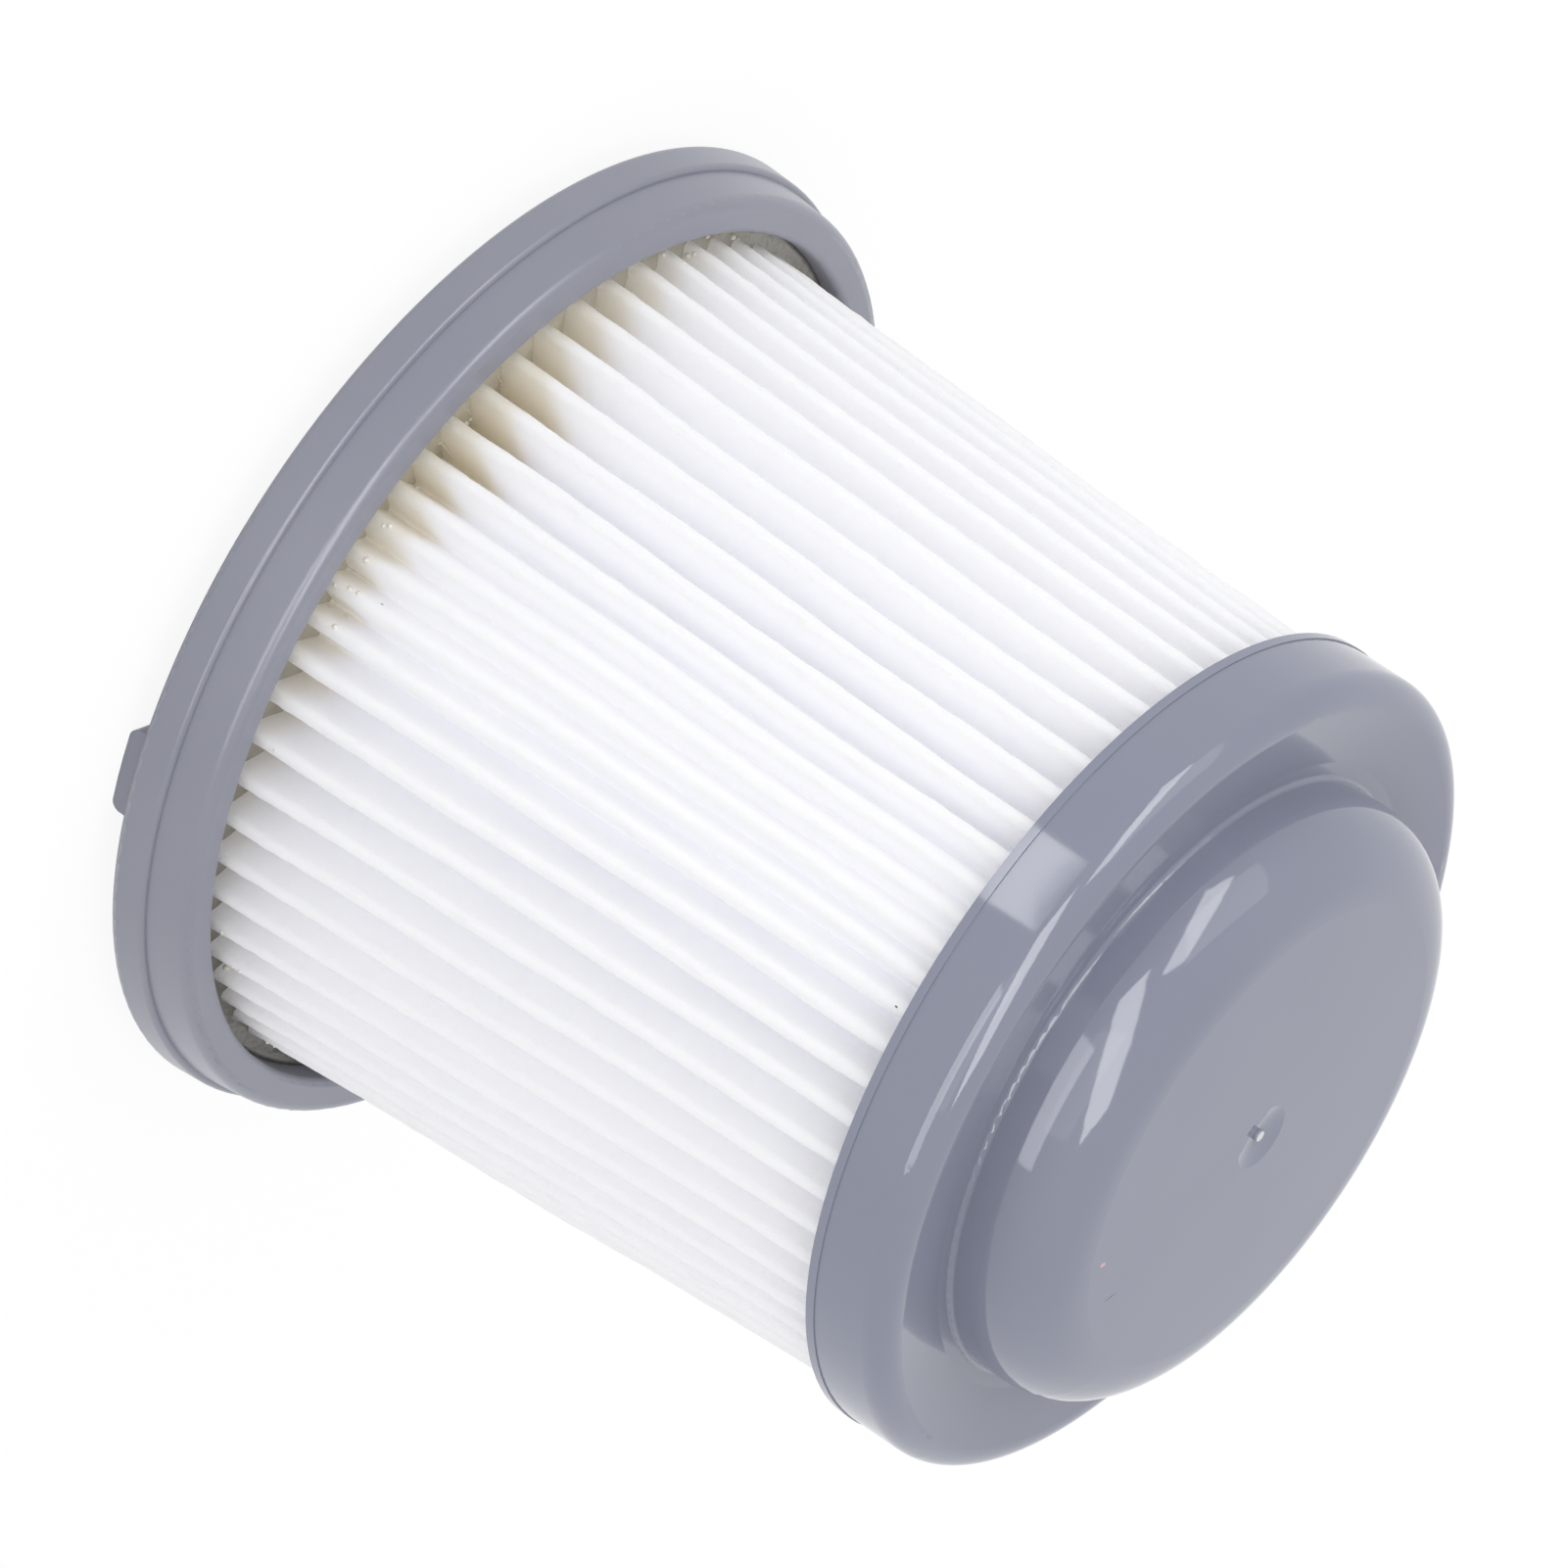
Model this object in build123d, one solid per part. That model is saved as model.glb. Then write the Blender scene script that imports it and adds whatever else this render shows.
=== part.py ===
from build123d import *
import os
from math import asin, atan2, cos, degrees, hypot, radians, sin, sqrt

# Tapered pleated cartridge filter for a hand-held vacuum cleaner, in millimetres.
# The axis is Z. The filter stands on the feet of its lugs at z = 0, open end down, dome up.
# Every piece is coaxial, and the side of the filter that faces -Y is its front.

# Open-end ring: one moulding of lip, skirt, end plate and collar
ring_diameter = 100.0        # over the lip, the widest part of the filter
ring_height = 8.35           # rear face to the front edge of the skirt
lip_width = 3.8              # along the axis
lip_draft = 0.25             # the lip narrows this much towards the skirt
lip_step = 0.6               # the lip stands this far out of the skirt
skirt_draft = 0.5            # the skirt narrows this much towards its front edge
skirt_wall = 3.6             # at the front edge
rear_round = 0.8
lip_round = 0.5
front_outer_round = 1.1
front_inner_round = 0.7
plate_thickness = 2.0
mouth_diameter = 66.0        # bore that the cleaned air leaves by
collar_wall = 1.6
collar_height = 5.0          # above the end plate

# Lugs behind the rear face, which twist into the cleaner
lug_count = 3
lug_height = 2.1
lug_length = 9.0             # along the rim
lug_width = 3.0              # across the rim
lug_inset = 1.4              # from the edge of the lip
lug_round = 1.0              # at each end of the foot
first_lug_angle = -54.0      # degrees from +X

# Folded filter sheet, which stands between the skirt and the collar
fold_count = 66
sheet_thickness = 0.7
crest_round = 0.75           # outer radius of an outward fold
root_round = 0.9             # outer radius of an inward fold
taper = 0.056                # loss of radius for each millimetre of height
skirt_gap = 1.75             # air between the skirt's front edge and the outward folds
collar_gap = 1.0             # between the collar and the inward folds

# Glue beds that close the ends of the folds
ring_bed_depth = 3.2
cap_bed_margin = 0.6         # glue past the inward folds

# Closed-end cap: one thin moulding with a domed centre
filter_length = 93.85        # rear face of the ring to the top of the dome
cap_wall = 1.55
cap_gap = 0.3                # between the outward folds and the cap's wall at its rim
cap_entry = 4.5              # how far the folds reach into the cap
bead_width = 0.12            # fine bead round the rim
bead_height = 0.9
shoulder_height = 9.1
shoulder_round = 2.4
face_width = 8.75            # from the cap's wall in to the valley
valley_drop = 1.3            # the valley lies this much below the shoulder
valley_round = 1.4
valley_width = 1.7           # flat floor between the face and the dome
dome_height = 10.5           # above the valley
dome_foot = 3.0              # upright foot of the dome, below its round
foot_round = 0.5             # between the valley and that foot
crown_radius = 1000.0
gate_dimple_depth = 0.55     # where the moulding was fed
gate_dimple_radius = 3.3
gate_stub_radius = 0.55      # broken-off feed in the dimple
gate_stub_height = 0.4

# Heights that follow from the sizes above
rear = lug_height
ring_front = rear + ring_height
plate_top = rear + plate_thickness
ring_bed_top = plate_top + ring_bed_depth
dome_top = rear + filter_length
valley = dome_top - dome_height
shoulder = valley + valley_drop
cap_rim = shoulder - shoulder_height
sheet_top = cap_rim + cap_entry

# Radii that follow, from the lip inwards
lip_radius = ring_diameter / 2
skirt_radius = lip_radius - lip_draft - lip_step
skirt_front = skirt_radius - skirt_draft
skirt_bore = skirt_front - skirt_wall
mouth_radius = mouth_diameter / 2
collar_radius = mouth_radius + collar_wall


def crest_radius(height):
    """Radius over the outward folds at a height."""
    return skirt_bore - skirt_gap - taper * (height - ring_front)


fold_depth = crest_radius(ring_bed_top) - collar_radius - collar_gap
half_pitch = radians(180 / fold_count)
cap_bore = crest_radius(cap_rim) + cap_gap
cap_radius = cap_bore + cap_wall
valley_radius = cap_radius - face_width
dome_radius = valley_radius - valley_width


def rounded(outline, corners):
    """Rounds the named corners of a flat outline, each given as (radius, height, round)."""
    for r, z, size in corners:
        outline = fillet(outline.vertices().sort_by_distance((r, z, 0))[:1], size)
    return outline


def turned(outline):
    """Turns an outline of (radius, height) about the axis."""
    return revolve(Plane.XZ * outline, Axis.Z)


def make_ring():
    lip_front = rear + lip_width
    outline = make_face(Polyline(
        (mouth_radius, rear),
        (lip_radius, rear),
        (lip_radius - lip_draft, lip_front),
        (skirt_radius, lip_front),
        (skirt_front, ring_front),
        (skirt_bore, ring_front),
        (skirt_bore, plate_top),
        (collar_radius, plate_top),
        (collar_radius, plate_top + collar_height),
        (mouth_radius, plate_top + collar_height),
        close=True,
    ))
    outline = rounded(outline, [
        (lip_radius, rear, rear_round),
        (lip_radius - lip_draft, lip_front, lip_round),
        (skirt_front, ring_front, front_outer_round),
        (skirt_bore, ring_front, front_inner_round),
    ])
    ring = turned(outline)
    for index in range(lug_count):
        ring += Rot(0, 0, first_lug_angle + 360 / lug_count * index) * make_lug()
    return ring


def make_lug():
    """One lug, centred on +X, with a round at each end of its foot."""
    outer = lip_radius - lug_inset
    inner = outer - lug_width
    span = degrees(lug_length / outer)
    section = make_face(Polyline((inner, 0), (outer, 0), (outer, rear), (inner, rear), close=True))
    lug = Rot(0, 0, -span / 2) * revolve(Plane.XZ * section, Axis.Z, span)
    foot_ends = lug.edges().filter_by(GeomType.LINE).group_by(Axis.Z)[0]
    return fillet(foot_ends, lug_round)


def polar(radius, angle):
    return (radius * cos(angle), radius * sin(angle))


def fold_wire(height, outer_face):
    """Closed zigzag line of one face of the sheet, round over its outward folds and creased elsewhere."""
    radius = crest_radius(height)
    crest = crest_round if outer_face else crest_round - sheet_thickness
    root = root_round - sheet_thickness if outer_face else root_round
    crest_centre = radius - crest_round
    root_centre = radius - fold_depth + root_round
    # From the centre of a crest on +X to the centre of the next root
    across_x = root_centre * cos(half_pitch) - crest_centre
    across_y = root_centre * sin(half_pitch)
    lean = asin((crest_round + root_round - sheet_thickness) / hypot(across_x, across_y))
    facing = atan2(across_y, across_x) - (radians(90) - lean)
    crest_end = (crest_centre + crest * cos(facing), crest * sin(facing))
    root_start = (
        root_centre * cos(half_pitch) - root * cos(facing),
        root_centre * sin(half_pitch) - root * sin(facing),
    )
    crest_r, crest_half = hypot(*crest_end), atan2(crest_end[1], crest_end[0])
    root_r, root_angle = hypot(*root_start), atan2(root_start[1], root_start[0])

    edges = []
    for index in range(fold_count):
        turn = 2 * half_pitch * index
        after = turn + 2 * half_pitch
        leave = polar(crest_r, turn + crest_half)
        enter = polar(root_r, turn + root_angle)
        climb = polar(root_r, after - root_angle)
        arrive = polar(crest_r, turn - crest_half)
        edges += [Line(leave, enter), Line(climb, polar(crest_r, after - crest_half))]
        if outer_face:
            edges += [ThreePointArc(arrive, polar(radius, turn), leave), Line(enter, climb)]
        else:
            root_tip = polar(radius - fold_depth, turn + half_pitch)
            edges += [Line(arrive, leave), Line(enter, root_tip), Line(root_tip, climb)]
    return Wire([Pos(0, 0, height) * edge for edge in edges])


def make_sheet():
    """The folded sheet: what its outer face encloses, less what its inner face encloses."""
    outside, inside = (
        Solid.make_loft([fold_wire(z, outer_face) for z in (ring_bed_top, sheet_top)], ruled=True)
        for outer_face in (True, False)
    )
    return outside - inside


def crown_drop(radius):
    """How far the crown has fallen at a radius."""
    return crown_radius - sqrt(crown_radius**2 - radius**2)


def cap_outline(inset):
    """Half section of the filled cap, shrunk by inset on its outer side."""
    side = cap_radius - inset
    face = shoulder - inset
    floor = valley - inset
    dome = dome_radius - inset
    top = dome_top - inset
    edge = top - crown_drop(dome)
    dome_round = dome_height - crown_drop(dome_radius) - dome_foot
    outline = make_face(
        Polyline((0, top), (0, cap_rim), (side, cap_rim), (side, face), (valley_radius, floor),
                 (dome, floor), (dome, edge))
        + ThreePointArc((0, top), (dome / 2, top - crown_drop(dome / 2)), (dome, edge))
    )
    return rounded(outline, [
        (side, face, shoulder_round - inset),
        (valley_radius, floor, valley_round + inset),
        (dome, floor, foot_round + inset),
        (dome, edge, dome_round - inset),
    ])


def make_cap():
    section = cap_outline(0) - cap_outline(cap_wall)
    section += Pos(cap_radius + bead_width / 2, cap_rim + bead_height / 2) * Rectangle(bead_width, bead_height)
    ball_radius = (gate_dimple_radius**2 + gate_dimple_depth**2) / (2 * gate_dimple_depth)
    dimple_floor = dome_top - gate_dimple_depth
    dimple = Pos(0, 0, dimple_floor + ball_radius) * Sphere(ball_radius)
    stub = Pos(0, 0, dimple_floor) * Cylinder(gate_stub_radius, 2 * gate_stub_height)
    return turned(section) - dimple + stub


def make_ring_bed():
    """Glue poured round the end plate, between the collar and the skirt."""
    outline = make_face(Polyline(
        (collar_radius, plate_top), (skirt_bore, plate_top),
        (skirt_bore, ring_bed_top), (collar_radius, ring_bed_top), close=True,
    ))
    return turned(outline)


def make_cap_bed():
    """Glue between the ends of the folds and the underside of the cap's face."""
    inner = crest_radius(sheet_top) - fold_depth - cap_bed_margin
    outline = make_face(Polyline(
        (inner, sheet_top), (cap_bore, sheet_top), (cap_bore, shoulder), (inner, shoulder), close=True,
    ))
    return turned(outline & cap_outline(cap_wall))


os.makedirs("parts", exist_ok=True)
pieces = {
    "open_end_ring": make_ring(),
    "open_end_glue_bed": make_ring_bed(),
    "pleated_filter_sheet": make_sheet(),
    "closed_end_glue_bed": make_cap_bed(),
    "domed_end_cap": make_cap(),
}
for name, piece in pieces.items():
    export_step(piece, f"parts/{name}.step")
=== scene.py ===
# %% [markdown]
# # A pleated vacuum cleaner filter
# The filter is a grey moulded ring, a white folded sheet and a grey moulded cap with a domed centre.
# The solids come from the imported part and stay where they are. This lesson gives them their finish,
# makes the folded sheet again as a finer mesh, adds the glue that oozed out of the ring, and lights it
# all as in a product picture.

# %% Load the solids and the tools
from math import cos, pi, radians, sin

import bpy
import numpy as np
from mathutils import Matrix, Vector
from mathutils.bvhtree import BVHTree


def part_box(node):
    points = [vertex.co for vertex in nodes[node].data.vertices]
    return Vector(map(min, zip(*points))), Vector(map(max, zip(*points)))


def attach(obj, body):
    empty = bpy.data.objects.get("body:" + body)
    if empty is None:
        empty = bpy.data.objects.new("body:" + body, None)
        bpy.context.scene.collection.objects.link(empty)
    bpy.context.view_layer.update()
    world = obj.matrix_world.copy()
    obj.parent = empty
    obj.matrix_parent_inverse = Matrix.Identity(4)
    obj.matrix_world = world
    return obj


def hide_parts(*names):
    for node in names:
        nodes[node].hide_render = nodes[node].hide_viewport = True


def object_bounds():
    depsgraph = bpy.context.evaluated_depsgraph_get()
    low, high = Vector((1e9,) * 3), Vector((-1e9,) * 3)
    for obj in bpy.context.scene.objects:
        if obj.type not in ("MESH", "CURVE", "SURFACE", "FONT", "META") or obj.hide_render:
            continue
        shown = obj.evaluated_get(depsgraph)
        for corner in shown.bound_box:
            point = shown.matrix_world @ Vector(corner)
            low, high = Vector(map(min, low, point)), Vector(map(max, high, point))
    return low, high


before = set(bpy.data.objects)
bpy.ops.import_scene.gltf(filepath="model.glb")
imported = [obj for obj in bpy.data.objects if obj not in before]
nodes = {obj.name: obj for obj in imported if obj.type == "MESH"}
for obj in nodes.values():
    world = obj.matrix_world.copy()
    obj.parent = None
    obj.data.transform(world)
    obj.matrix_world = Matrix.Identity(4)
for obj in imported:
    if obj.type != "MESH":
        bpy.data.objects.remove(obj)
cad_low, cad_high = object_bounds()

MM = 0.001
print("solids", sorted(nodes), "size in mm", [round(x / MM, 1) for x in cad_high - cad_low])

# %% [markdown]
# ## The camera
# A round rim shows as an ellipse, and the ellipse gives the tilt of the filter's axis. A long lens keeps
# the far and near rims almost the same size, which is what product pictures do. The camera is placed from
# four measures: the direction of the axis in the picture, its tilt towards the viewer, and the centre and
# radius of the ring's rear rim in pixels.

# %% Camera
PHOTO_SIDE = 1601                  # pixels
LENS_PIXELS = 12000                # focal length in pixels
RING_CENTRE = (483.5, 630.2)       # pixels, centre of the ring's rear rim
RING_RADIUS_PIXELS = 550.7
RING_RADIUS = 50 * MM
REAR_RIM = 2.1 * MM                # above the lugs' feet
AXIS_TURN = radians(33.35)         # in the picture, below the horizontal
AXIS_TILT = radians(24.2)          # towards the viewer
SENSOR_WIDTH = 36.0

distance = LENS_PIXELS * RING_RADIUS / RING_RADIUS_PIXELS
right = Vector((-sin(AXIS_TURN), sin(AXIS_TILT) * cos(AXIS_TURN), cos(AXIS_TILT) * cos(AXIS_TURN)))
down = Vector((cos(AXIS_TURN), sin(AXIS_TILT) * sin(AXIS_TURN), cos(AXIS_TILT) * sin(AXIS_TURN)))
forward = Vector((0, cos(AXIS_TILT), -sin(AXIS_TILT)))
aside, below = ((pixel - PHOTO_SIDE / 2) * distance / LENS_PIXELS for pixel in RING_CENTRE)

camera = bpy.data.objects.new("camera", bpy.data.cameras.new("camera"))
bpy.context.scene.collection.objects.link(camera)
camera.data.sensor_width = SENSOR_WIDTH
camera.data.lens = SENSOR_WIDTH * LENS_PIXELS / PHOTO_SIDE
camera.data.clip_start, camera.data.clip_end = 0.01, 100
camera_place = Vector((0, 0, REAR_RIM)) - right * aside - down * below - forward * distance
turn = Matrix((right, -down, -forward)).transposed()
camera.matrix_world = Matrix.Translation(camera_place) @ turn.to_4x4()
bpy.context.scene.camera = camera
bpy.context.scene.view_settings.view_transform = "Standard"
print("camera at", [round(x, 3) for x in camera_place], "lens", round(camera.data.lens, 1))

# %% [markdown]
# ## Helpers for materials
# Every finish is a small tree of shader nodes. One function adds a node, sets it and links it, and one
# turns the hex colours that a designer writes into the linear values that the renderer needs.

# %% Material helpers
def linear(hex_colour):
    """An sRGB hex colour as linear red, green, blue and alpha."""
    channels = [int(hex_colour[i:i + 2], 16) / 255 for i in (1, 3, 5)]
    return [c / 12.92 if c <= 0.04045 else ((c + 0.055) / 1.055) ** 2.4 for c in channels] + [1.0]


def add(tree, kind, inputs=None, **settings):
    """Adds a node. An input is a value, or another node's output socket."""
    node = tree.nodes.new(kind)
    for name, value in settings.items():
        setattr(node, name, value)
    for socket, value in (inputs or {}).items():
        if isinstance(value, bpy.types.NodeSocket):
            tree.links.new(value, node.inputs[socket])
        else:
            node.inputs[socket].default_value = value
    return node


def new_finish(name):
    """A material with an empty tree, and that tree."""
    material = bpy.data.materials.new(name)
    material.use_nodes = True
    material.node_tree.nodes.clear()
    return material, material.node_tree


def grain(millimetres):
    """Scale of a noise texture whose features are this wide, on coordinates in metres."""
    return 1 / (millimetres * MM)


def blend_colours(tree, share, first, second):
    """Goes from the first colour to the second as share goes from 0 to 1."""
    return add(tree, "ShaderNodeMix", {"Factor": share, 6: first, 7: second}, data_type="RGBA").outputs[2]


def marked(tree, place, colour, marks):
    """Lays small marks over a colour. A mark is (centre, half sizes, turn about Z, hex colour)."""
    for centre, halves, angle, hex_colour in marks:
        local = add(tree, "ShaderNodeMapping", {
            "Vector": place, "Location": centre, "Rotation": (0, 0, angle), "Scale": halves},
            vector_type="TEXTURE")
        reach = add(tree, "ShaderNodeVectorMath", {0: local.outputs["Vector"]}, operation="LENGTH")
        inside = add(tree, "ShaderNodeMapRange", {
            "Value": reach.outputs["Value"], "From Min": 1.15, "From Max": 0.85})
        colour = blend_colours(tree, inside.outputs["Result"], colour, linear(hex_colour))
    return colour


# %% [markdown]
# ## Moulded ABS
# Ring and cap are injection-moulded ABS, a grey plastic with a blue cast. The ring's mould was left
# satin, so it shows one soft light line along each edge. The cap's mould was polished, so the dome
# mirrors the lamps, a little wavily because thick plastic shrinks unevenly. Both get faint clouds in the
# colour, as pigment never mixes evenly. Where the feed was broken off in the dimple the stub is painted
# white, partly for plastic whitened by the strain and partly as a painted highlight on its tip. The dome
# has also picked up a pink fleck and a hairline scratch.

# %% Moulded ABS
def moulded_abs(name, colour, cloud_colour, roughness, waviness, wave_width, tooth, tooth_width, marks=()):
    """Grey plastic with faint clouds, slow waves from shrinking and a fine tooth. Lengths in mm."""
    material, tree = new_finish(name)
    place = add(tree, "ShaderNodeTexCoord").outputs["Object"]
    clouds = add(tree, "ShaderNodeTexNoise", {"Vector": place, "Scale": grain(14), "Detail": 0.0})
    tint = blend_colours(tree, clouds.outputs["Fac"], linear(colour), linear(cloud_colour))
    waves = add(tree, "ShaderNodeTexNoise", {"Vector": place, "Scale": grain(wave_width), "Detail": 1.0})
    swell = add(tree, "ShaderNodeBump", {
        "Height": waves.outputs["Fac"], "Strength": 1.0, "Distance": waviness * MM})
    fine = add(tree, "ShaderNodeTexNoise", {"Vector": place, "Scale": grain(tooth_width), "Detail": 2.0})
    bump = add(tree, "ShaderNodeBump", {
        "Height": fine.outputs["Fac"], "Strength": 1.0, "Distance": tooth * MM,
        "Normal": swell.outputs["Normal"]})
    shader = add(tree, "ShaderNodeBsdfPrincipled", {
        "Base Color": marked(tree, place, tint, marks), "Roughness": roughness,
        "IOR": 1.53, "Normal": bump.outputs["Normal"]})
    add(tree, "ShaderNodeOutputMaterial", {"Surface": shader.outputs["BSDF"]})
    return material


def dress(node_name, material):
    """Gives a solid of the frame its finish."""
    solid = nodes[node_name]
    solid.data.materials.clear()
    solid.data.materials.append(material)


dome_top = cad_high.z
dome_marks_and_painted_highlight = [
    # the gate stub: painted white, partly whitened plastic and partly a painted highlight on its tip
    ((0, 0, dome_top), (0.56 * MM, 0.56 * MM, 0.9 * MM), 0, "#dcdce0"),
    ((17.1 * MM, -14.5 * MM, dome_top), (0.24 * MM, 0.4 * MM, 1 * MM), 0.4, "#d9a7ae"),
    ((19.2 * MM, -8.8 * MM, dome_top), (0.9 * MM, 0.1 * MM, 1 * MM), 2.4, "#5d6072"),
]
# Satin: the edges show one broad, soft line of light
satin_abs = moulded_abs("satin_moulded_abs", "#898b99", "#90929f", 0.28, 0, 3, 0.0004, 0.4)
# Polished: the dome mirrors the lamps as crisp, slightly wavy streaks
polished_abs = moulded_abs(
    "polished_moulded_abs", "#868a9c", "#8b8fa0", 0.08, 0.012, 4, 0.0006, 0.5, dome_marks_and_painted_highlight)
dress("open_end_ring", satin_abs)
dress("domed_end_cap", polished_abs)
print("dressed the ring and the cap, with", len(dome_marks_and_painted_highlight), "marks on the dome")

# %% [markdown]
# ## The folded sheet
# A folding machine makes even zigzags, but closing the sheet to a tube crowds the folds at the seam and
# leaves them slightly wavy. The solid has even folds, so a finer mesh stands for it. Each fold is two
# flanks that run tangent to a round crest and a round root. The outline is worked out for all folds and
# all heights at once, and the sheet's two faces are half a thickness to either side of it.

# %% Measure the solid sheet
FOLDS = 66
SHEET_THICKNESS = 0.7 * MM
END_BAND = 0.1 * MM                # points this close to an end belong to it
points = np.array([v.co for v in nodes["pleated_filter_sheet"].data.vertices])
radius, height = np.hypot(points[:, 0], points[:, 1]), points[:, 2]
sheet_foot, sheet_head = height.min(), height.max()
at_foot, at_head = height < sheet_foot + END_BAND, height > sheet_head - END_BAND
crest_foot, crest_head = radius[at_foot].max(), radius[at_head].max()
fold_depth = crest_foot - radius[at_foot].min()
print("sheet from", round(sheet_foot / MM, 2), "to", round(sheet_head / MM, 2), "mm, crests at radius",
      round(crest_foot / MM, 2), "to", round(crest_head / MM, 2), "depth", round(fold_depth / MM, 2))

# %% [markdown]
# ## Where the folds stand
# A machine folds the sheet evenly, but where its two ends meet at the front the folds crowd together. A
# spacing that varies round the axis is summed up and divided in equal shares, one for each fold.

# %% Fold angles
FRONT = radians(-90)               # the side that the camera sees
SEAM_CROWDING = 0.31
SEAM_WIDTH = radians(18)
BACK_CROWDING = 0.1
FIRST_CREST = radians(-1.1)        # past the front, clockwise from above

around = np.linspace(-pi, pi, 7201)
spread = 1 - SEAM_CROWDING * np.exp(-(around / SEAM_WIDTH) ** 2) + BACK_CROWDING * np.cos(around)
count = np.concatenate([[0], np.cumsum(0.5 * (1 / spread[1:] + 1 / spread[:-1]))])
count *= FOLDS / count[-1]
first = np.interp(FIRST_CREST, around, count)
crest_turns = np.interp((first + np.arange(FOLDS)) % FOLDS, count, around)
crest_angles = np.sort(FRONT - crest_turns)
gaps = np.diff(np.append(crest_angles, crest_angles[0] + 2 * pi))
spacing = np.degrees(gaps)
print("fold spacing in degrees from", spacing.min().round(2), "to", spacing.max().round(2))

# %% [markdown]
# ## Waviness along the folds
# Cloth doesn't stay straight. Between the glue at its two ends each fold wanders a little, sideways and
# inwards. Rows of points from end to end carry that, closer together near the ring where the stain is.

# %% Crests and roots at every height
ROWS = 56
ROW_CROWDING = 1.3                 # more rows near the ring, where the glue shows
CREST_ROUND = 0.8 * MM
SEAM_FILL = 0.6                    # at the seam folds press together, which leaves only shallow grooves
ROOT_ROUND = 0.9 * MM
TWIST = radians(1.2)               # between the two ends
WAVE = 0.22 * MM                   # sideways waviness of a crest
BULGE = 0.12 * MM

rng = np.random.default_rng(7)
t = np.linspace(0, 1, ROWS)[:, None] ** ROW_CROWDING
z = sheet_foot + t * (sheet_head - sheet_foot)


def waves(amplitude):
    """Soft waviness along each fold, alike on neighbouring folds."""
    drift = np.cumsum(rng.normal(0, 0.1, FOLDS))
    phase = rng.random(FOLDS)
    slow = np.sin(2 * pi * (0.9 * t + drift))
    quick = np.sin(2 * pi * (2.3 * t + phase))
    return amplitude * (0.6 * slow + 0.4 * quick)


held = np.clip(6 * t, 0, 1) * np.clip(6 * (1 - t), 0, 1)     # both ends are held by glue
even_radius = crest_foot + t * (crest_head - crest_foot)
crest_radius = even_radius - held * (BULGE + waves(BULGE))
crest_angle = crest_angles + t * TWIST + held * waves(WAVE) / crest_radius
next_angle = np.roll(crest_angle, -1, axis=1) + np.where(np.arange(FOLDS) == FOLDS - 1, 2 * pi, 0)
root_angle = (crest_angle + next_angle) / 2
root_before_angle = np.roll(root_angle, 1, axis=1)
print("rows", ROWS, "from", round(float(z[1, 0] - z[0, 0]) / MM, 2), "mm apart")

# %% [markdown]
# ## Outline of the folds
# Seen along the axis, a fold is an arc over the crest, two straight flanks and an arc in each root. The
# flanks run tangent to the arcs, so the cloth bends without a crease. At the seam the folds are pressed
# together, and only shallow grooves are left between them.

# %% Outline of the folds
ARC_STEPS, FLANK_STEPS, ROOT_STEPS = 8, 3, 2
CREST_RAGGED, FLANK_RAGGED, ROOT_RAGGED = 1.0, 0.4, 0.2     # share of the loose fibres
crest_mid, root_mid = CREST_ROUND - SHEET_THICKNESS / 2, ROOT_ROUND - SHEET_THICKNESS / 2
line, normal, raggedness = [], [], []


def spoke(angle):
    return np.stack([np.cos(angle), np.sin(angle)], -1)


def shortest(start, end):
    """The shortest turn from one direction to another."""
    return (end - start + pi) % (2 * pi) - pi


def flank(crests, roots, side):
    """Centre of the root and outward direction of the flank on one side of each crest."""
    crowded = np.exp(-(shortest(roots, FRONT) / SEAM_WIDTH) ** 2)
    groove = fold_depth * (1 - SEAM_FILL * crowded)
    root = (even_radius - groove + ROOT_ROUND)[..., None] * spoke(roots)
    across = root - crests
    reach = np.hypot(across[..., 0], across[..., 1])
    lean = np.arcsin((CREST_ROUND + ROOT_ROUND - SHEET_THICKNESS) / reach)
    return root, np.arctan2(across[..., 1], across[..., 0]) - side * (pi / 2 - lean)


def trace_arc(middle, bend, start, end, steps, ragged):
    """Adds points along a bend of the sheet's middle line."""
    for step in range(steps):
        angle = start + step / steps * shortest(start, end)
        line.append(middle + bend * spoke(angle))
        normal.append(spoke(angle))
        raggedness.append(ragged)


def trace_flank(start, end, facing):
    """Adds points along a straight flank."""
    for step in range(FLANK_STEPS):
        line.append(start + step / FLANK_STEPS * (end - start))
        normal.append(spoke(facing))
        raggedness.append(FLANK_RAGGED)


centre = (crest_radius - CREST_ROUND)[..., None] * spoke(crest_angle)
root_before, facing_before = flank(centre, root_before_angle, -1)
root_after, facing_after = flank(centre, root_angle, 1)
low_before = root_before - root_mid * spoke(facing_before)
low_after = root_after - root_mid * spoke(facing_after)
high_before = centre + crest_mid * spoke(facing_before)
high_after = centre + crest_mid * spoke(facing_after)
trace_arc(root_before, -root_mid, root_before_angle, facing_before, ROOT_STEPS, ROOT_RAGGED)
trace_flank(low_before, high_before, facing_before)
trace_arc(centre, crest_mid, facing_before, crest_angle, ARC_STEPS // 2, CREST_RAGGED)
trace_arc(centre, crest_mid, crest_angle, facing_after, ARC_STEPS // 2, CREST_RAGGED)
trace_flank(high_after, low_after, facing_after)
trace_arc(root_after, -root_mid, facing_after, root_angle, ROOT_STEPS, ROOT_RAGGED)

line = np.stack(line, 2).reshape(ROWS, -1, 2)
normal = np.stack(normal, 2).reshape(ROWS, -1, 2)
raggedness = np.tile(raggedness, FOLDS)[:, None]
columns = line.shape[1]
print("outline points", columns)

# %% [markdown]
# ## Mesh of the folded sheet
# Loose fibres roughen the outer face, most of all on the crests. The inner face is hardly seen, so it has
# fewer rows. A strip at each end joins the two faces, which makes one closed mesh.

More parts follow.
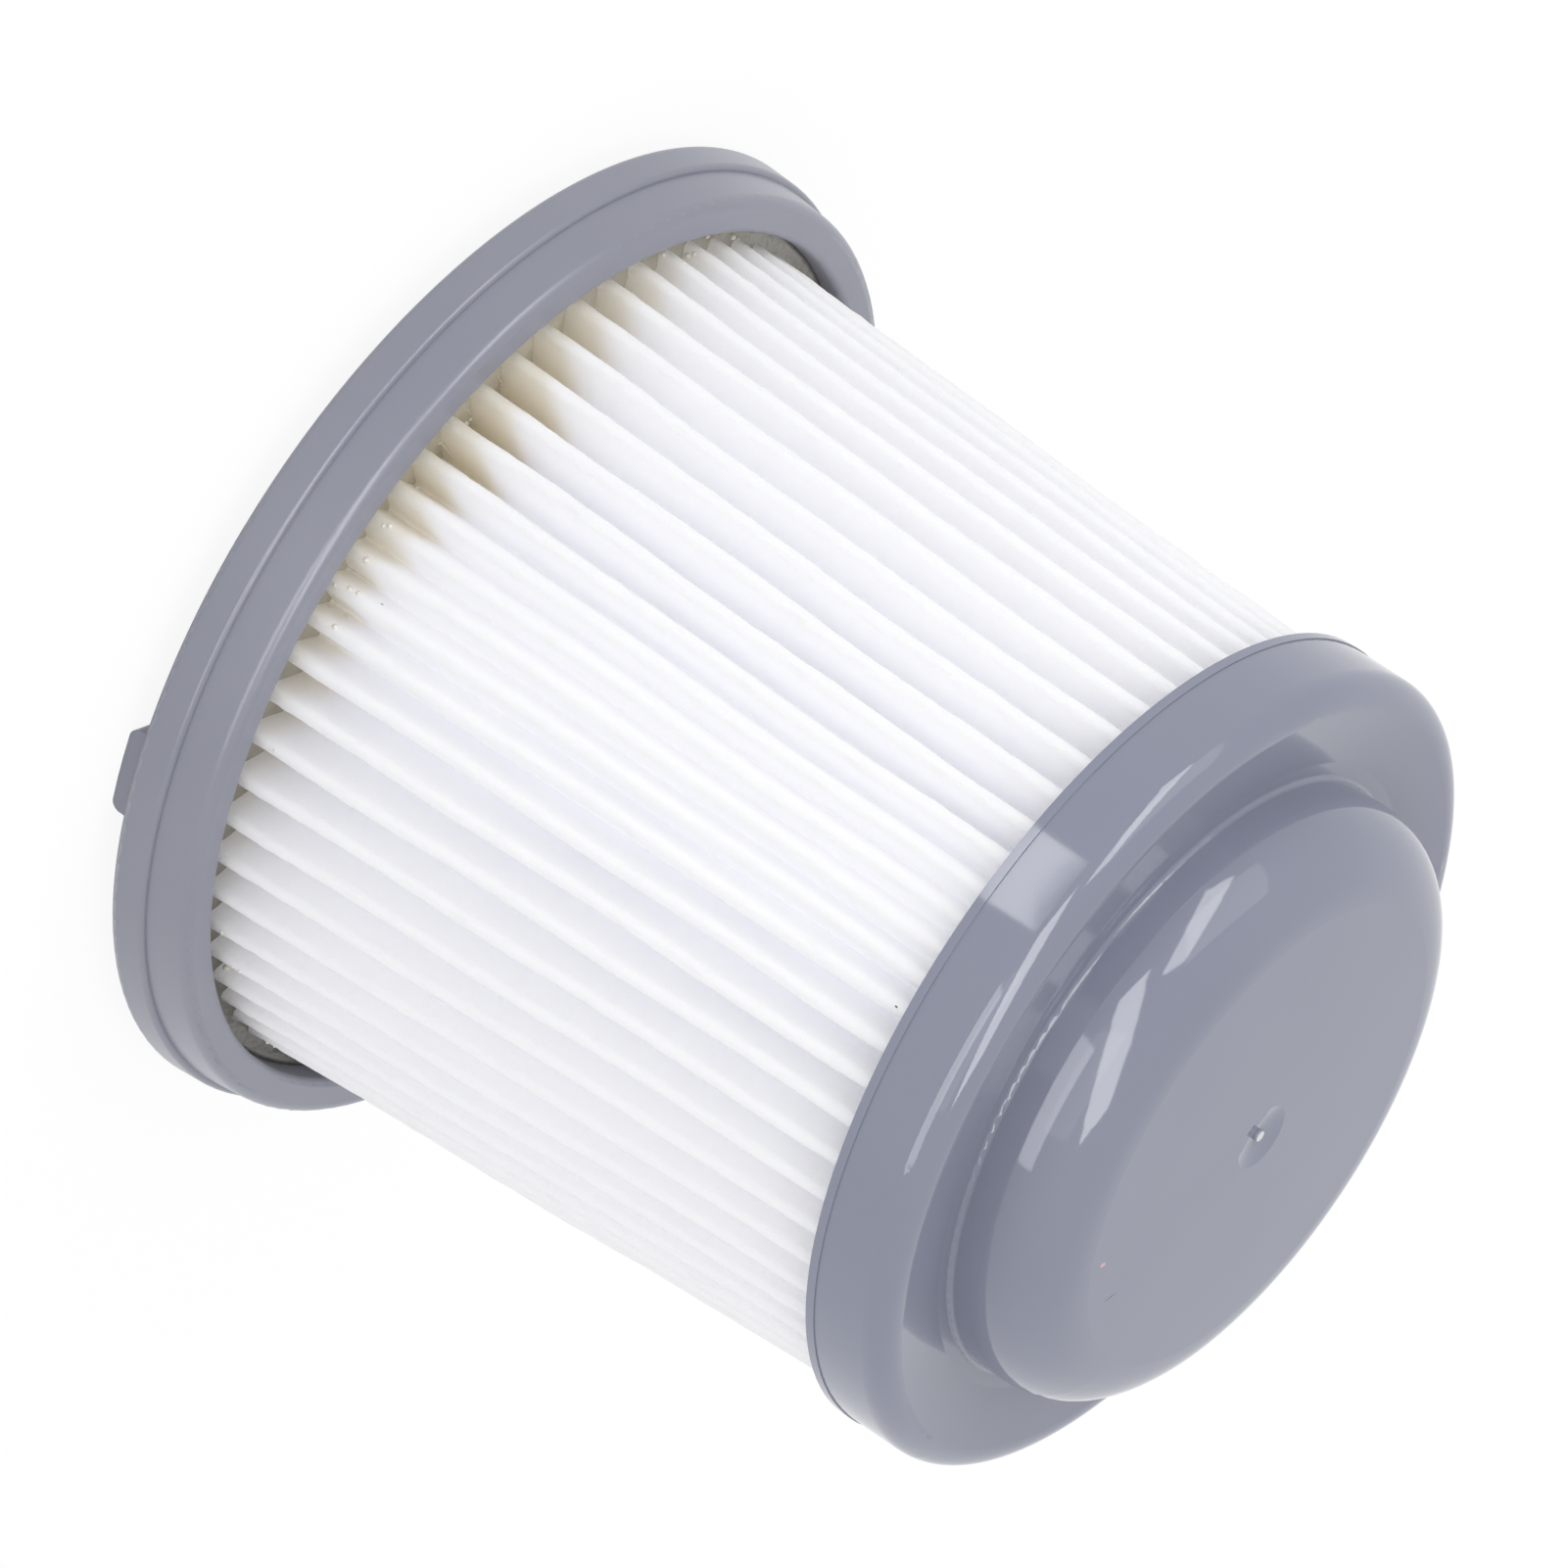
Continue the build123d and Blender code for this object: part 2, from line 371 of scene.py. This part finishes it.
# %% Mesh of the folded sheet
FUZZ = 0.03 * MM                   # fibres that stand out of the crests
INNER_EVERY = 4                    # the inner face, hardly seen, has fewer rows
heights = np.broadcast_to(z, (ROWS, columns))[..., None]
fuzz = FUZZ * raggedness * rng.normal(0, 1, (ROWS, columns, 1))
outer = np.concatenate([line + normal * (SHEET_THICKNESS / 2 + fuzz), heights], -1)
inner_rows = sorted(set(range(0, ROWS, INNER_EVERY)) | {ROWS - 1})
inner = np.concatenate([line - normal * SHEET_THICKNESS / 2, heights], -1)[inner_rows]


def wall(first, rows, across):
    """Quads of a closed tube of points, row by row, and the points' numbers."""
    index = first + np.arange(rows * across).reshape(rows, across)
    beside = np.roll(index, -1, axis=1)
    return np.stack([index[:-1], beside[:-1], beside[1:], index[1:]], -1).reshape(-1, 4), index


def new_piece(name, vertices, faces, material):
    """A smooth mesh object that rides on the filter's one body."""
    mesh = bpy.data.meshes.new(name)
    mesh.from_pydata(vertices.tolist(), [], [[int(i) for i in face] for face in faces])
    mesh.shade_smooth()
    mesh.materials.append(material)
    piece = bpy.data.objects.new(name, mesh)
    bpy.context.scene.collection.objects.link(piece)
    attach(piece, "root")
    print(name, "triangles", sum(len(face) - 2 for face in faces))
    return piece


outer_faces, outer_index = wall(0, ROWS, columns)
inner_faces, inner_index = wall(ROWS * columns, len(inner_rows), columns)
ends = []
for row, flip in ((0, 1), (-1, -1)):
    rim, lining = outer_index[row], inner_index[row]
    ends.append(np.stack([rim, lining, np.roll(lining, -1), np.roll(rim, -1)], -1)[:, ::flip])
sheet_faces = np.concatenate([outer_faces, inner_faces[:, ::-1], *ends])
sheet_points = np.concatenate([outer.reshape(-1, 3), inner.reshape(-1, 3)])
print("sheet points", len(sheet_points))

# %% [markdown]
# ## Looking along a pixel
# Flecks and drops of glue are placed where they show in the picture. A line of sight runs from the camera
# through a pixel until it meets the sheet, so each one sits on the sheet itself and looks right from any
# side.

# %% Lines of sight
def sight(pixel):
    """Direction from the camera through a pixel."""
    across, under = pixel[0] - PHOTO_SIDE / 2, pixel[1] - PHOTO_SIDE / 2
    return (right * across + down * under + forward * LENS_PIXELS).normalized()


def meets(surface, pixel):
    """Where the line of sight through a pixel meets a surface, or None."""
    return surface.ray_cast(camera_place, sight(pixel))[0]


sheet_surface = BVHTree.FromPolygons(sheet_points.tolist(), outer_faces.tolist())
print("the picture's middle looks along", [round(x, 3) for x in sight((PHOTO_SIDE / 2, PHOTO_SIDE / 2))])

# %% [markdown]
# ## Non-woven sheet
# The filter sheet is thermally bonded polyester fibre. It is white and matt, and as it is felted it has a
# fine tooth and faint cloudy spots. Where hot glue has soaked into it, it is beige and a little shiny. Two
# dark fibres have been caught in it.

# %% Non-woven sheet
def non_woven(name, marks):
    """White felted cloth: matt and toothed, beige and a little shiny where glue has soaked in."""
    material, tree = new_finish(name)
    place = add(tree, "ShaderNodeTexCoord").outputs["Object"]
    spots = add(tree, "ShaderNodeTexNoise", {"Vector": place, "Scale": grain(2.2), "Detail": 3.0})
    cloth = blend_colours(tree, spots.outputs["Fac"], linear("#fcfcff"), linear("#fefeff"))
    soak = add(tree, "ShaderNodeAttribute", attribute_name="glue_soak").outputs["Fac"]
    stain = blend_colours(tree, soak, cloth, linear("#eee8da"))
    tooth = add(tree, "ShaderNodeTexNoise", {"Vector": place, "Scale": grain(0.3), "Detail": 4.0})
    bump = add(tree, "ShaderNodeBump", {
        "Height": tooth.outputs["Fac"], "Strength": 1.0, "Distance": 0.06 * MM})
    wet = add(tree, "ShaderNodeMapRange", {"Value": soak, "To Min": 0.95, "To Max": 0.45})
    shader = add(tree, "ShaderNodeBsdfPrincipled", {
        "Base Color": marked(tree, place, stain, marks), "Roughness": wet.outputs["Result"],
        "Specular IOR Level": 0.2, "Normal": bump.outputs["Normal"]})
    add(tree, "ShaderNodeOutputMaterial", {"Surface": shader.outputs["BSDF"]})
    return material


FLECK_PIXELS = [(390, 617), (915, 1028)]
fleck_size = (0.1 * MM, 0.1 * MM, 0.17 * MM)
flecks = [(meets(sheet_surface, pixel), fleck_size, 0, "#6a6560") for pixel in FLECK_PIXELS]
polyester_felt = non_woven("bonded_polyester_non_woven", flecks)
folded_sheet = new_piece("folded_sheet", sheet_points, sheet_faces, polyester_felt)
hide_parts("pleated_filter_sheet")

# %% [markdown]
# ## Glue soaked into the sheet
# The stain is strongest just beside the seam and fades round the axis. It reaches a few millimetres past
# the ring, further down in the folds. Each point of the mesh stores its share of glue for the finish.

# %% Glue soaked into the sheet
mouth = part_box("open_end_ring")[1].z     # the skirt's front edge
SOAK_CENTRE = radians(23)          # from the front, clockwise from above
SOAK_WIDTH = radians(38)
SOAK_LEAST = 0.22                  # share of the full soak at the far side
SOAK_REACH = 4.6 * MM              # past the skirt's edge, on a crest
SOAK_SLANT = 0.45                  # how much further it went for each unit of depth
SOAK_SOFTNESS = 3.5 * MM
RIPPLE = 1.1 * MM

turn_from_front = (FRONT - np.arctan2(sheet_points[:, 1], sheet_points[:, 0]) + pi) % (2 * pi) - pi
strength = SOAK_LEAST + (1 - SOAK_LEAST) * np.exp(-((turn_from_front - SOAK_CENTRE) / SOAK_WIDTH) ** 2)
mean_crest = np.interp(sheet_points[:, 2], z[:, 0], crest_radius.mean(1))
depth = np.clip(mean_crest - np.hypot(sheet_points[:, 0], sheet_points[:, 1]), 0, 5 * MM)
ripple = RIPPLE * np.sin(turn_from_front * 23) * np.sin(turn_from_front * 7.3 + 1)
reach = strength * (SOAK_REACH + SOAK_SLANT * depth) + ripple * strength
soak = np.clip((mouth + reach - sheet_points[:, 2]) / SOAK_SOFTNESS, 0, 1)
soak = strength * soak * soak * (3 - 2 * soak)
attribute = folded_sheet.data.attributes.new("glue_soak", "FLOAT", "POINT")
attribute.data.foreach_set("value", soak.astype(np.float32))
print("soaked points", int((soak > 0.05).sum()))

# %% [markdown]
# ## The cut of the sheet
# Laid flat, the sheet would be a plain strip, as wide as the distance between the glue beds and as long as
# its zigzag. Here only the row of points half way up, along which that length runs, is picked out.

# %% The cut of the sheet
middle_row = line[int(np.abs(t - 0.5).argmin())]

# %% [markdown]
# ## Set glue
# Hot-melt glue sets to a cloudy beige wax with a gloss and a lumpy surface. Both beds are plain rings of
# it. The finish can take a second colour, a dark grey that is painted shade.

# %% Hot-melt glue
def hot_melt(name, painted_shade_colour=None):
    """Set glue. A dark grey, painted shade, takes over where the mesh's glue_thickness is low."""
    material, tree = new_finish(name)
    place = add(tree, "ShaderNodeTexCoord").outputs["Object"]
    clouds = add(tree, "ShaderNodeTexNoise", {"Vector": place, "Scale": grain(2.5), "Detail": 3.0})
    tint = blend_colours(tree, clouds.outputs["Fac"], linear("#b5b0a0"), linear("#d6d1c3"))
    # Painted shade: where the mask is low the glue takes a dark grey instead of its own colour
    if painted_shade_colour:
        thickness = add(tree, "ShaderNodeAttribute", attribute_name="glue_thickness").outputs["Fac"]
        tint = blend_colours(tree, thickness, linear(painted_shade_colour), tint)
    lumps = add(tree, "ShaderNodeTexNoise", {"Vector": place, "Scale": grain(0.9), "Detail": 2.0})
    bump = add(tree, "ShaderNodeBump", {
        "Height": lumps.outputs["Fac"], "Strength": 1.0, "Distance": 0.15 * MM})
    shader = add(tree, "ShaderNodeBsdfPrincipled", {
        "Base Color": tint, "Roughness": 0.22, "IOR": 1.48, "Normal": bump.outputs["Normal"]})
    add(tree, "ShaderNodeOutputMaterial", {"Surface": shader.outputs["BSDF"]})
    return material


hot_melt_glue = hot_melt("set_hot_melt_glue")
dress("open_end_glue_bed", hot_melt_glue)
dress("closed_end_glue_bed", hot_melt_glue)
print("dressed both glue beds")

# %% [markdown]
# ## Glue skin on the ring's bed
# While it was hot the glue crept up the skirt and between the folds, most of all at the stain. Elsewhere
# the skin is painted dark grey, a painted shade for the deep gap between skirt and folds. The skin is a
# section that is carried round the axis, with heights that wander from step to step.

# %% Glue skin on the ring's bed
SKIN_STEPS = 900
SKIN_SEAT = 0.15 * MM              # the skin is sunk this far into its bed
SKIN_CLEARANCE = 0.06 * MM         # from the skirt
CLIMB = 2.0 * MM                   # up the skirt, at most
CLIMB_LEAST, CLIMB_MOST = 0.15, 0.6    # share of it away from the stain and at the stain
CLIMB_WIDTH = radians(75)
bed_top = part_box("open_end_glue_bed")[1].z
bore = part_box("open_end_glue_bed")[1].x - SKIN_CLEARANCE
skin_turn = np.linspace(0, 2 * pi, SKIN_STEPS, endpoint=False)


def wander(slowest, fastest):
    """Uneven height round the axis, about 1 at most, with bumps of many sizes."""
    total = 0
    for bumps in range(slowest, fastest):
        size = rng.normal(0, 1) / bumps ** 0.6
        total = total + size * np.sin(bumps * skin_turn + rng.uniform(0, 2 * pi))
    return total / np.abs(total).max()


from_stain = shortest(SOAK_CENTRE, FRONT - skin_turn)
climb_share = CLIMB_LEAST + (CLIMB_MOST - CLIMB_LEAST) * np.exp(-(from_stain / CLIMB_WIDTH) ** 2)
skin_section = [
    # radius, height above the bed, unevenness
    (bore, -SKIN_SEAT, 0),
    (bore, CLIMB, 0.35 * MM),
    (bore - 0.35 * MM, 0.75 * CLIMB, 0.3 * MM),
    (bore - 1.0 * MM, 0.6 * CLIMB, 0.35 * MM),
    (crest_foot - 0.4 * MM, 0.8 * CLIMB, 0.4 * MM),
    (crest_foot - 1.6 * MM, 1.2 * CLIMB, 0.4 * MM),
    (crest_foot - 4.5 * MM, 1.3 * CLIMB, 0.4 * MM),
    (crest_foot - fold_depth, 1.0 * CLIMB, 0),
    (crest_foot - fold_depth, -SKIN_SEAT, 0),
]
skin_points = []
for ring_radius, rise, lump in skin_section:
    level = bed_top + (rise + lump * wander(6, 140)) * (climb_share if rise > 0 else np.ones(SKIN_STEPS))
    skin_points.append(np.column_stack([ring_radius * spoke(skin_turn), level]))
skin_faces, skin_index = wall(0, len(skin_section), SKIN_STEPS)
last, start = skin_index[-1], skin_index[0]
closing = np.stack([last, np.roll(last, -1), np.roll(start, -1), start], -1)
skin_faces = np.concatenate([skin_faces, closing])
# Away from the stain the skin's glue turns dark grey: painted shade in the gap between skirt and folds
painted_shade_glue = hot_melt("hot_melt_glue_with_painted_shade", "#55524c")
glue_skin = new_piece("glue_skin", np.concatenate(skin_points), skin_faces, painted_shade_glue)
# The mask of that painted shade follows the glue's climb: the less it climbs, the more painted shade
thickness = np.tile((climb_share - CLIMB_LEAST) / (CLIMB_MOST - CLIMB_LEAST), len(skin_section))
attribute = glue_skin.data.attributes.new("glue_thickness", "FLOAT", "POINT")
attribute.data.foreach_set("value", thickness.astype(np.float32))

# %% [markdown]
# ## Clear glue
# Small drops of the same glue look clear and pale. They are very smooth, so each one shows a bright point
# of light. They sit on the sheet or on the skin, whichever a line of sight meets first.

# %% Clear glue
def clear_glue(name):
    """Pale and very glossy glue, which sparkles."""
    material, tree = new_finish(name)
    place = add(tree, "ShaderNodeTexCoord").outputs["Object"]
    clouds = add(tree, "ShaderNodeTexNoise", {"Vector": place, "Scale": grain(0.6), "Detail": 2.0})
    tint = blend_colours(tree, clouds.outputs["Fac"], linear("#e6e0d2"), linear("#f3efe6"))
    shader = add(tree, "ShaderNodeBsdfPrincipled", {"Base Color": tint, "Roughness": 0.06, "IOR": 1.48})
    add(tree, "ShaderNodeOutputMaterial", {"Surface": shader.outputs["BSDF"]})
    return material


clear_hot_melt = clear_glue("clear_hot_melt_glue")
glued = np.concatenate([sheet_points, *skin_points])
glued_faces = np.concatenate([outer_faces, skin_faces + len(sheet_points)])
glued_surface = BVHTree.FromPolygons(glued.tolist(), glued_faces.tolist())
print("faces that can hold a drop", len(glued_faces))

# %% [markdown]
# ## Beads of glue
# The glue gun left small beads where the crests meet the ring. Each is a small ball, half sunk, and all
# of them are joined in one mesh. Those that the picture shows are placed along its lines of sight, and a
# few more at random.

# %% Beads
BEAD_PIXELS = [
    (677, 260), (702, 261), (709, 259), (722, 241), (748, 242), (753, 244), (449, 452), (476, 432),
    (425, 498), (398, 537), (374, 572), (357, 601), (342, 640), (366, 606), (480, 428), (231, 988),
]
BEAD_RADIUS = 0.26 * MM
BEAD_SEGMENTS, BEAD_RINGS = 10, 6
POLE_GAP = 0.02                    # radians left out at each pole of a ball
LOOSE_BEADS = 24
LOOSE_ROWS = (4, 7)                # rows of the sheet just past the skirt


def ball(place, size):
    """Points of a ball, ring by ring."""
    tilt = np.linspace(POLE_GAP, pi - POLE_GAP, BEAD_RINGS)[:, None]
    turn = np.linspace(0, 2 * pi, BEAD_SEGMENTS, endpoint=False)[None]
    shape = np.zeros((BEAD_RINGS, BEAD_SEGMENTS, 3))
    shape[..., 0] = np.sin(tilt) * np.cos(turn)
    shape[..., 1] = np.sin(tilt) * np.sin(turn)
    shape[..., 2] = -np.cos(tilt)
    return np.asarray(place) + size * shape.reshape(-1, 3)


def join_tubes(tubes, across):
    """Points and quads of many closed tubes, each a stack of rings."""
    points, faces, first = [], [], 0
    for tube in tubes:
        quads, index = wall(first, len(tube) // across, across)
        points.append(tube)
        faces += [list(quad) for quad in quads] + [list(index[0][::-1]), list(index[-1])]
        first += len(tube)
    return np.concatenate(points), faces


beads = []
for pixel in BEAD_PIXELS:
    place = meets(glued_surface, pixel)
    if place is not None:
        beads.append(ball(place, BEAD_RADIUS * rng.uniform(0.7, 1.3)))
for _ in range(LOOSE_BEADS):
    fold, row = rng.integers(FOLDS), rng.integers(*LOOSE_ROWS)
    place = (*(crest_radius[row, 0] * spoke(crest_angle[row, fold])), float(z[row, 0]))
    beads.append(ball(place, BEAD_RADIUS * rng.uniform(0.4, 0.8)))
glue_beads = new_piece("glue_beads", *join_tubes(beads, BEAD_SEGMENTS), clear_hot_melt)

# %% [markdown]
# ## Strings of glue
# As the gun is drawn away, hot glue leaves strings as thin as hair. Each is a tube with pointed ends that
# bows outwards between the two places where it sticks.

# %% Strings
STRING_PIXELS = [((355, 579), (385, 600)), ((334, 617), (342, 622)), ((352, 627), (359, 632)),
                 ((448, 450), (464, 469)), ((476, 417), (482, 426)), ((508, 384), (514, 396))]
STRING_RADIUS = 0.07 * MM
STRING_BOW = 0.25 * MM
STRING_SIDES, STRING_STEPS = 6, 9


def thread(start, end):
    """Points of a thin tube with pointed ends that bows a little away from the axis."""
    along = (end - start).normalized()
    out = Vector((start.x, start.y, 0)).normalized()
    side, up = along.cross(out).normalized(), along.cross(along.cross(out)).normalized()
    rings = []
    for share in np.linspace(0, 1, STRING_STEPS):
        bow = sin(pi * share)
        middle = start.lerp(end, share) + out * bow * STRING_BOW
        thickness = STRING_RADIUS * (0.25 + 0.75 * bow)
        for turn in np.linspace(0, 2 * pi, STRING_SIDES, endpoint=False):
            rings.append(middle + (side * cos(turn) + up * sin(turn)) * thickness)
    return np.array(rings)


strings = []
for first_pixel, last_pixel in STRING_PIXELS:
    start, end = meets(glued_surface, first_pixel), meets(glued_surface, last_pixel)
    if start is not None and end is not None:
        strings.append(thread(start, end))
glue_strings = new_piece("glue_strings", *join_tubes(strings, STRING_SIDES), clear_hot_melt)

# %% [markdown]
# ## Floor
# The filter stands on white paper. It is matt, so it takes the filter's shadow, and most of what the camera
# and the gloss see of it is plain white, as in a cut-out product picture.

# %% Floor
FLOOR_SIDE = 6.0                   # metres
WHITENING = 0.88                   # share of the floor's look that is plain white


def seen_directly(tree):
    """1 for what the camera, the gloss or a clear piece shows, 0 for light that falls on a surface."""
    path = add(tree, "ShaderNodeLightPath").outputs
    seen = path["Is Camera Ray"]
    for kind in ("Is Glossy Ray", "Is Transmission Ray"):
        seen = add(tree, "ShaderNodeMath", {0: seen, 1: path[kind]}, operation="MAXIMUM").outputs[0]
    return seen


floor_mesh = bpy.data.meshes.new("floor")
corner = FLOOR_SIDE / 2
corners = [(-corner, -corner, 0), (corner, -corner, 0), (corner, corner, 0), (-corner, corner, 0)]
floor_mesh.from_pydata(corners, [], [(0, 1, 2, 3)])
floor = bpy.data.objects.new("floor", floor_mesh)
bpy.context.scene.collection.objects.link(floor)
paper, tree = new_finish("white_paper_floor")
share = add(tree, "ShaderNodeMath", {0: seen_directly(tree), 1: WHITENING}, operation="MULTIPLY")
matt = add(tree, "ShaderNodeBsdfDiffuse", {"Color": linear("#f2f2f2")})
white = add(tree, "ShaderNodeEmission", {"Color": (1, 1, 1, 1), "Strength": 1.03})
mixed = add(tree, "ShaderNodeMixShader", {0: share.outputs[0], 1: matt.outputs[0], 2: white.outputs[0]})
add(tree, "ShaderNodeOutputMaterial", {"Surface": mixed.outputs[0]})
floor_mesh.materials.append(paper)
print("floor", FLOOR_SIDE, "m wide")

# %% [markdown]
# ## White room
# A product picture has light from all sides. The room gives an even light, dim enough that white cloth
# keeps its shading, and what the camera and the gloss see of the room is plain white.

# %% World
ROOM_LIGHT = 0.84
world = bpy.data.worlds.new("white_studio")
bpy.context.scene.world = world
world.use_nodes = True
tree = world.node_tree
tree.nodes.clear()
level = add(tree, "ShaderNodeMapRange", {
    "Value": seen_directly(tree), "To Min": ROOM_LIGHT, "To Max": 1.0})
sky = add(tree, "ShaderNodeBackground", {"Color": (1, 1, 1, 1), "Strength": level.outputs["Result"]})
add(tree, "ShaderNodeOutputWorld", {"Surface": sky.outputs[0]})
print("light from the room", ROOM_LIGHT)

# %% [markdown]
# ## Light in the folds
# White folds pass light to each other many times before it comes out again. With few bounces the valleys
# would turn grey, so more are allowed than usual.

# %% Light in the folds
cycles = bpy.context.scene.cycles
cycles.diffuse_bounces = 12
cycles.max_bounces = 16
print("bounces between white folds", cycles.diffuse_bounces)

# %% [markdown]
# ## Soft lamps
# Two large soft lamps stand at the front and to one side, and the one at the side is stronger. That gives
# the ring and the folds a lighter and a darker side. A lamp's power follows from how bright its face is.

# %% Soft lamps
def area_lamp(name, place, facing, along, width, tall, radiance, gloss_only=False):
    """A rectangular lamp that looks along facing, with its width along another direction."""
    lamp = bpy.data.lights.new(name, "AREA")
    lamp.shape, lamp.size, lamp.size_y = "RECTANGLE", width, tall
    lamp.energy = radiance * pi * width * tall
    piece = bpy.data.objects.new(name, lamp)
    bpy.context.scene.collection.objects.link(piece)
    back = -Vector(facing).normalized()
    side = (Vector(along) - back * back.dot(Vector(along))).normalized()
    turn = Matrix((side, back.cross(side), back)).transposed()
    piece.matrix_world = Matrix.Translation(place) @ turn.to_4x4()
    piece.visible_camera = False
    piece.visible_diffuse = not gloss_only
    return piece


def towards(azimuth, elevation):
    """Direction from the filter, in degrees from +X and above the floor."""
    a, e = radians(azimuth), radians(elevation)
    return Vector((cos(a) * cos(e), sin(a) * cos(e), sin(e)))


SOFTBOX_SIDE = 0.6                 # metres
SOFTBOX_DISTANCE = 0.9
softboxes = {
    # azimuth and elevation in degrees, radiance
    "front_softbox": (-72, 18, 0.7),
    "side_softbox": (-150, 22, 1.05),
}
middle = (cad_low + cad_high) / 2
for name, (azimuth, elevation, radiance) in softboxes.items():
    away = towards(azimuth, elevation)
    place = middle + away * SOFTBOX_DISTANCE
    area_lamp(name, place, -away, (0, 0, 1), SOFTBOX_SIDE, SOFTBOX_SIDE, radiance)
print("soft lamps", sorted(softboxes))

# %% [markdown]
# ## Strip lamps
# The crisp streaks on the cap are strip lamps that the polished plastic mirrors. Each stands where a line
# of sight, mirrored in the cap, would meet it. It shows in the gloss only, so that it doesn't change the
# light on the rest.

# %% Strip lamps
strips = {
    # place and the point of the cap that mirrors it in mm, direction of its width, width and height in
    # mm, radiance
    "wall_strip": ((-36.0, -108.3, 48.8), (-7.4, -40.6, 80.5), (-0.934, 0.357, 0), 36.3, 5.8, 5.5),
    "left_strip": ((108.9, -223.5, 63.0), (7.5, -29.5, 89.4), (-0.872, -0.486, 0.064), 200, 100, 3.2),
    "crown_strip": ((8.5, -244.3, 223.0), (-0.2, -29.7, 91.4), (-0.572, -0.338, -0.747), 391, 93, 5.5),
    "right_strip": ((-175.5, -170.4, 130.5), (-12.9, -27.4, 90.6), (-0.502, 0.427, -0.753), 199, 62, 5.0),
}
for name, (place, spot, along, width, tall, radiance) in strips.items():
    place, spot = Vector(place) * MM, Vector(spot) * MM
    area_lamp(name, place, spot - place, along, width * MM, tall * MM, radiance, gloss_only=True)
print("strip lamps", sorted(strips))
